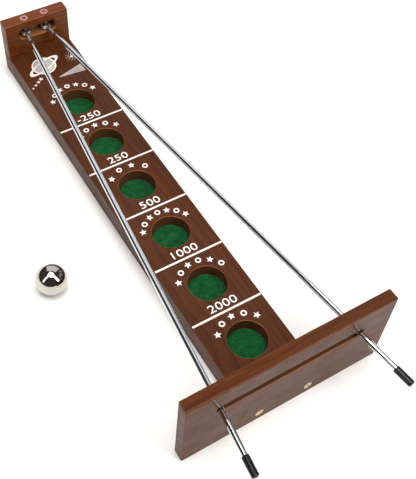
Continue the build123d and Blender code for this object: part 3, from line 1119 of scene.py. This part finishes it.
class BALLGAME_OT_screws(bpy.types.Operator):
    """Screws: two pivot screws, two through the front plate and two under the board."""

    bl_idname = "ball_game.screws"
    bl_label = "Screws"

    def execute(self, context):
        metal = context.scene.ball_game_metal
        # The pivot screws' shanks are painted dark as shade.
        pivot = metal_material("Pivot screw plating", metal.copper, 0.22, 0.16, 0.5, below_the_head)
        brass = metal_material("Brass plate", metal.brass, 0.16, 0.16, 0.45)
        zinc = known("Zinc plate")
        build_screws("pivot_screw", pivot)
        build_screws("plate_screw", brass)
        build_screws("block_screw", zinc)
        return {"FINISHED"}


class BALLGAME_OT_caps(bpy.types.Operator):
    """Grip caps: each a lathe with an open mouth round the rod and a closed, rounded outer end."""

    bl_idname = "ball_game.caps"
    bl_label = "Grip caps"

    def execute(self, context):
        metal = context.scene.ball_game_metal
        material = plastic_material(metal.plastic)
        for side in SIDES:
            distance = rod_line(side)[1]
            end = 2 * distance - metal.rod_start + metal.cap_end
            start, bore = end - metal.cap_length, metal.rod_radius + 0.01 * MM
            outer, lip = metal.rod_radius + metal.cap_wall, 0.2 * MM
            profile = np.vstack([
                [(0, end - metal.cap_end), (bore, end - metal.cap_end), (bore, start + 0.1 * MM)],
                arc((outer - lip, start + lip), lip, -90, 0, 4),
                arc((outer - metal.cap_round, end - metal.cap_round), metal.cap_round, 0, 90, 9),
                [(0, end)],
            ])
            node = f"{side}_grip_cap"
            piece = new_object(f"cap_{side}", mesh_from(on_rod(side, lathe(profile, 72))))
            finish_piece(piece, material, node)
        return {"FINISHED"}


class BALLGAME_OT_ball(bpy.types.Operator):
    """Ball: a half circle turned about the upright axis."""

    bl_idname = "ball_game.ball"
    bl_label = "Ball"

    def execute(self, context):
        metal = context.scene.ball_game_metal
        low, high = corners("steel_ball")
        radius = (high[2] - low[2]) / 2 - BALL_SHRINK
        grid = lathe(arc((0, 0), radius, -90, 90, 72), 144) + (low + high) / 2
        piece = new_object("ball", mesh_from(grid))
        material = metal_material("Polished steel", metal.steel, 0.05, 0.05, 0.2)
        finish_piece(piece, material, "steel_ball", weighted=False)
        return {"FINISHED"}


# ---- print ----


def slab(outline, height, base):
    """Grid of a flat shape of that height: its outline carried straight up to a slightly drawn-in top."""
    profile = [(0, -INK_SINK), (0, 0.6 * height), (-0.03 * MM, height)]
    return carry(outline, profile) + (0, 0, base)


def star(points, outer, inner, lean):
    """Outline of a star: radius from outer to inner and back at even angles, with radial normals."""
    t = np.arange(2 * points) * TURN / (2 * points) + TURN / 4 + lean
    ray = np.stack([np.cos(t), np.sin(t)], -1)
    return ray * np.where(np.arange(2 * points) % 2, inner, outer)[:, None], ray


def disc(radius, count):
    """Outline of a circle."""
    points, ray = hub(count)
    return points + radius * ray, ray


def annulus(outer, inner, height, base, stretch=1.0):
    """Grid of a flat ring: a rectangular section turned about Z, with its first axis stretched."""
    section = [(inner, -INK_SINK), (outer, -INK_SINK), (outer, height), (inner, height)]
    return lathe(section, 72) * (stretch, 1, 1) + (0, 0, base)


def add_print(name, meshes, material):
    """Joins meshes to one print piece that rides on the board."""
    work = bmesh.new()
    for mesh in meshes:
        work.from_mesh(mesh)
    joined = bpy.data.meshes.new(name)
    work.to_mesh(joined)
    work.free()
    return finish_piece(new_object(name, joined), material, body=body_of("deck_board"), weighted=False)


class BALLGAME_OT_lines(bpy.types.Operator):
    """Lines: a straight white bar across the board midway between each two cups."""

    bl_idname = "ball_game.lines"
    bl_label = "Dividing lines"

    def execute(self, context):
        ink = context.scene.ball_game_print
        reach = 2 * (BOARD_HIGH[0] - context.scene.ball_game_timber.board_round)
        outline = rounded_rectangle(reach, ink.line_width, 0.2 * MM, 3)
        bars = [
            slab(outline, ink.ink_height, BOARD_TOP) + (0, (near[1] + far[1]) / 2, 0)
            for near, far in zip(CUPS, CUPS[1:])
        ]
        add_print("print_lines", [mesh_from(*bars)], ink_material("White ink", ink.ink, 0.35))
        return {"FINISHED"}


class BALLGAME_OT_numerals(bpy.types.Operator):
    """Numerals: bold score figures above each line, thickened to a thin slab."""

    bl_idname = "ball_game.numerals"
    bl_label = "Score numerals"
    scores = ("2000", "1000", "500", "250", "-250")
    boldness = 0.003
    widening = 1.25

    def execute(self, context):
        ink = context.scene.ball_game_print
        for row, score in enumerate(self.scores):
            writing = bpy.data.curves.new(f"print_score_{row + 1}", "FONT")
            writing.body, writing.align_x, writing.size = score, "CENTER", 1.0
            writing.offset, writing.extrude, writing.resolution_u = self.boldness, 0.5, 8
            writing.space_character = 1.04
            holder = new_object("writing", writing)
            bpy.context.view_layer.update()
            mesh = bpy.data.meshes.new_from_object(holder.evaluated_get(context.evaluated_depsgraph_get()))
            bpy.data.objects.remove(holder)
            co = np.empty(3 * len(mesh.vertices), np.float32)
            mesh.vertices.foreach_get("co", co)
            co = co.reshape(-1, 3)
            digits = co[:, 1].max() - co[:, 1].min()
            co[:, :2] *= ink.digit_height / digits
            co[:, 0] *= self.widening
            co[:, 0] -= (co[:, 0].min() + co[:, 0].max()) / 2
            line = (CUPS[row][1] + CUPS[row + 1][1]) / 2
            co[:, 1] += line + ink.digit_gap - co[:, 1].min()
            co[:, 2] = BOARD_TOP + np.where(co[:, 2] > 0, ink.ink_height, -INK_SINK)
            mesh.vertices.foreach_set("co", co.ravel())
            close_up(mesh)
            add_print(f"print_score_{row + 1}", [mesh], known("White ink"))
        return {"FINISHED"}


class BALLGAME_OT_cup_marks(bpy.types.Operator):
    """Marks: stars and rings on an arc round the far side of each cup, at even angles."""

    bl_idname = "ball_game.cup_marks"
    bl_label = "Marks round the cups"
    counts = (5, 6, 7, 4, 5, 7)
    spans = (104, 122, 126, 92, 100, 128)

    def execute(self, context):
        ink = context.scene.ball_game_print
        for row, (count, span) in enumerate(zip(self.counts, self.spans)):
            headings = np.radians(np.linspace(span / 2, -span / 2, count))
            stars, rings = [], []
            for step, heading in enumerate(headings):
                spot = CUPS[row][:2] + ink.arc_radius * np.array([-np.sin(heading), np.cos(heading)])
                at = (spot[0], spot[1], 0)
                if step % 2:
                    ring = annulus(0.80 * ink.mark_size, 0.42 * ink.mark_size, ink.ink_height, BOARD_TOP)
                    rings.append(ring + at)
                else:
                    shape = star(5, ink.mark_size, 0.46 * ink.mark_size, heading)
                    stars.append(slab(shape, ink.ink_height, BOARD_TOP) + at)
            meshes = [mesh_from(*stars), mesh_from(*rings, closed_section=True)]
            add_print(f"print_marks_{row + 1}", meshes, known("White ink"))
        return {"FINISHED"}


class BALLGAME_OT_ornament(bpy.types.Operator):
    """Ornament: a ringed disc with a trail of stars, a fan of rays and a burst of dots, at the far end."""

    bl_idname = "ball_game.ornament"
    bl_label = "Ornament"
    middle = (-0.0070, 0.1720)
    fan_root = (-0.0023, 0.1511)
    burst_middle = (0.0218, 0.1719)
    trail = np.array([(-0.0170, 0.1570), (-0.0285, 0.1485)])
    trail_sizes = (2.6, 2.1, 1.7, 1.3)
    ray_angles = (-3.2, 2.4, 8.0, 13.6)
    burst_rings = ((1, 0, 1.2), (6, 2.4, 0.5), (10, 4.2, 0.36), (14, 5.9, 0.26))

    def execute(self, context):
        ink = context.scene.ball_game_print
        height, base = ink.ink_height, BOARD_TOP
        silver = ink_material("Silver ink", ink.silver, 0.8)
        at = (*self.middle, 0)
        disc_grid = slab(disc(10.6 * MM, 72), 0.6 * height, base) + at
        add_print("print_disc", [mesh_from(disc_grid)], silver)
        rim = annulus(11.6 * MM, 10.4 * MM, height, base) + at
        orbit = turned(annulus(6.0 * MM, 4.7 * MM, 1.2 * height, base, stretch=3.1), 0.42) + at
        rims = [mesh_from(grid, closed_section=True) for grid in (rim, orbit)]
        add_print("print_rim", rims, known("White ink"))
        rays = [self.ray(math.radians(angle), height, base) for angle in self.ray_angles]
        add_print("print_rays", [mesh_from(*rays)], silver)
        dots = [
            slab(star(5, reach * MM, 0.45 * reach * MM, 2 * share), height, base)
            + (*(self.trail[0] * (1 - share) + self.trail[1] * share), 0)
            for share, reach in zip(np.linspace(0, 1, 4), self.trail_sizes)
        ]
        for ring, (count, radius, dot) in enumerate(self.burst_rings):
            for step in range(count):
                heading = TURN * (step + 0.5 * ring) / count
                spot = np.array([np.cos(heading), np.sin(heading), 0]) * radius * MM
                dots.append(slab(disc(dot * MM, 14), height, base) + (*self.burst_middle, 0) + spot)
        add_print("print_burst", [mesh_from(*dots)], known("White ink"))
        return {"FINISHED"}

    def ray(self, angle, height, base):
        """A wedge that widens from the fan's root: a long four-sided outline turned to its angle."""
        near, far, narrow, wide = 1.5 * MM, 27.6 * MM, 0.20 * MM, 1.05 * MM
        points = np.array([(near, -narrow), (far, -wide), (far, wide), (near, narrow)])
        normals = np.array([(-0.7, -0.7), (0.7, -0.7), (0.7, 0.7), (-0.7, 0.7)])
        return turned(slab((points, normals), height, base), angle) + (*self.fan_root, 0)


# ---- stage ----


class BALLGAME_OT_stage(bpy.types.Operator):
    """Stage: a pale floor, soft lights round a dim room, and the camera."""

    bl_idname = "ball_game.stage"
    bl_label = "Stage"

    def execute(self, context):
        stage = context.scene.ball_game_stage
        self.floor(stage)
        self.lights(stage)
        self.camera(context, stage)
        context.scene.view_settings.view_transform = "Standard"
        self.room(context)
        return {"FINISHED"}

    @staticmethod
    def floor(stage):
        """A wide flat disc just under the object."""
        radius, top, bottom = 4.0, -0.05 * MM, -0.4 * MM
        grid = lathe([(0, bottom), (radius, bottom), (radius, top), (0, top)], 96)
        floor = new_object("floor", mesh_from(grid))
        tree, here, feed = new_material("Floor", {"Roughness": 0.6, "Specular IOR Level": 0.2})
        tone = tree.noise(here, scale=3.0, detail=2)
        bright = tuple(stage.floor)
        floor.data.materials.append(feed(Base_Color=tree.mix(tone, bright, shade_of(bright, 0.99))))
        floor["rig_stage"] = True

    @staticmethod
    def lights(stage):
        """Soft rectangles, each given as its place, its width and height, its brightness and its tint."""
        panels = {
            "key": ((-0.15, -0.1, 3.2), (1.9, 1.9), stage.key_strength, (1.0, 0.985, 0.96)),
            "left strip": ((-2.0, -0.18, 1.81), (0.55, 2.8), 3.2, (1.0, 0.98, 0.95)),
            "right strip": ((1.0, -1.74, 1.81), (0.55, 2.8), 11.0, (1.0, 0.98, 0.95)),
            "far panel": ((1.29, 1.98, 1.85), (3.5, 3.0), 0.90, (0.95, 0.98, 1.0)),
        }
        for name, (spot, (width, height), brightness, shade) in panels.items():
            light = bpy.data.lights.new(name, "AREA")
            light.shape, light.size, light.size_y = "RECTANGLE", width, height
            light.energy = brightness * math.pi * width * height
            light.color = shade
            holder = new_object(name, light)
            holder.location = spot
            holder.rotation_euler = (-Vector(spot)).to_track_quat("-Z", "Y").to_euler()

    @staticmethod
    def camera(context, stage):
        """Camera whose rows are worked out from azimuth, elevation and roll."""
        azimuth, elevation, roll = stage.azimuth, stage.elevation, stage.roll
        back = Vector((
            math.sin(azimuth) * math.cos(elevation),
            -math.cos(azimuth) * math.cos(elevation),
            math.sin(elevation),
        ))
        level = Vector((0, 0, 1)).cross(back).normalized()
        upright = back.cross(level)
        right = math.cos(roll) * level + math.sin(roll) * upright
        up = math.cos(roll) * upright - math.sin(roll) * level
        lens = bpy.data.cameras.new("camera")
        lens.lens, lens.shift_x, lens.shift_y = stage.lens, stage.shift_x, stage.shift_y
        lens.clip_start = 0.01
        camera = new_object("camera", lens)
        turned_to = Matrix((right, up, back)).transposed().to_4x4()
        camera.matrix_world = Matrix.Translation(stage.camera_place) @ turned_to
        context.scene.camera = camera

    @staticmethod
    def room(context):
        """A dim room that the camera itself sees as pale."""
        world = bpy.data.worlds.new("room")
        world.use_nodes = True
        world.node_tree.nodes.clear()
        tree = Tree(world.node_tree)
        dim = tree.add("ShaderNodeBackground", {"Color": (0.050, 0.047, 0.044, 1), "Strength": 1.0})
        pale = tree.add("ShaderNodeBackground", {"Color": (1, 1, 1, 1), "Strength": 1.0})
        seen = tree.add("ShaderNodeLightPath").outputs["Is Camera Ray"]
        both = tree.add("ShaderNodeMixShader", {0: seen, 1: dim.outputs[0], 2: pale.outputs[0]})
        tree.add("ShaderNodeOutputWorld", {"Surface": both.outputs[0]})
        context.scene.world = world


# ---- panel and start ----

OPERATORS = (
    BALLGAME_OT_stage,
    BALLGAME_OT_board,
    BALLGAME_OT_front_plate,
    BALLGAME_OT_pivot_block,
    BALLGAME_OT_felts,
    BALLGAME_OT_rods,
    BALLGAME_OT_eyes,
    BALLGAME_OT_washers,
    BALLGAME_OT_screws,
    BALLGAME_OT_caps,
    BALLGAME_OT_ball,
    BALLGAME_OT_lines,
    BALLGAME_OT_numerals,
    BALLGAME_OT_cup_marks,
    BALLGAME_OT_ornament,
)


class BALLGAME_PT_panel(bpy.types.Panel):
    """Sidebar panel with a button for each group of pieces and the settings below."""

    bl_idname = "BALLGAME_PT_panel"
    bl_label = "Ball Game"
    bl_space_type = "VIEW_3D"
    bl_region_type = "UI"
    bl_category = "Ball Game"

    def draw(self, context):
        for operator in OPERATORS:
            self.layout.operator(operator.bl_idname)
        for name, group in SETTINGS.items():
            box = self.layout.box()
            for field in group.__annotations__:
                box.prop(getattr(context.scene, name), field)


def register():
    """Registers the classes and hangs the settings on the scene."""
    for cls in (*SETTINGS.values(), *OPERATORS, BALLGAME_PT_panel):
        bpy.utils.register_class(cls)
    for name, group in SETTINGS.items():
        setattr(bpy.types.Scene, name, bpy.props.PointerProperty(type=group))


def unregister():
    """Takes the settings and classes away again."""
    for name in SETTINGS:
        delattr(bpy.types.Scene, name)
    for cls in reversed((*SETTINGS.values(), *OPERATORS, BALLGAME_PT_panel)):
        bpy.utils.unregister_class(cls)


def main():
    """Builds everything in order."""
    register()
    for operator in OPERATORS:
        group, name = operator.bl_idname.split(".")
        getattr(getattr(bpy.ops, group), name)()
    boxes = {"cad": cad_box, "visual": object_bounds()}
    plain = {name: [list(low), list(high)] for name, (low, high) in boxes.items()}


if __name__ == "__main__":
    main()
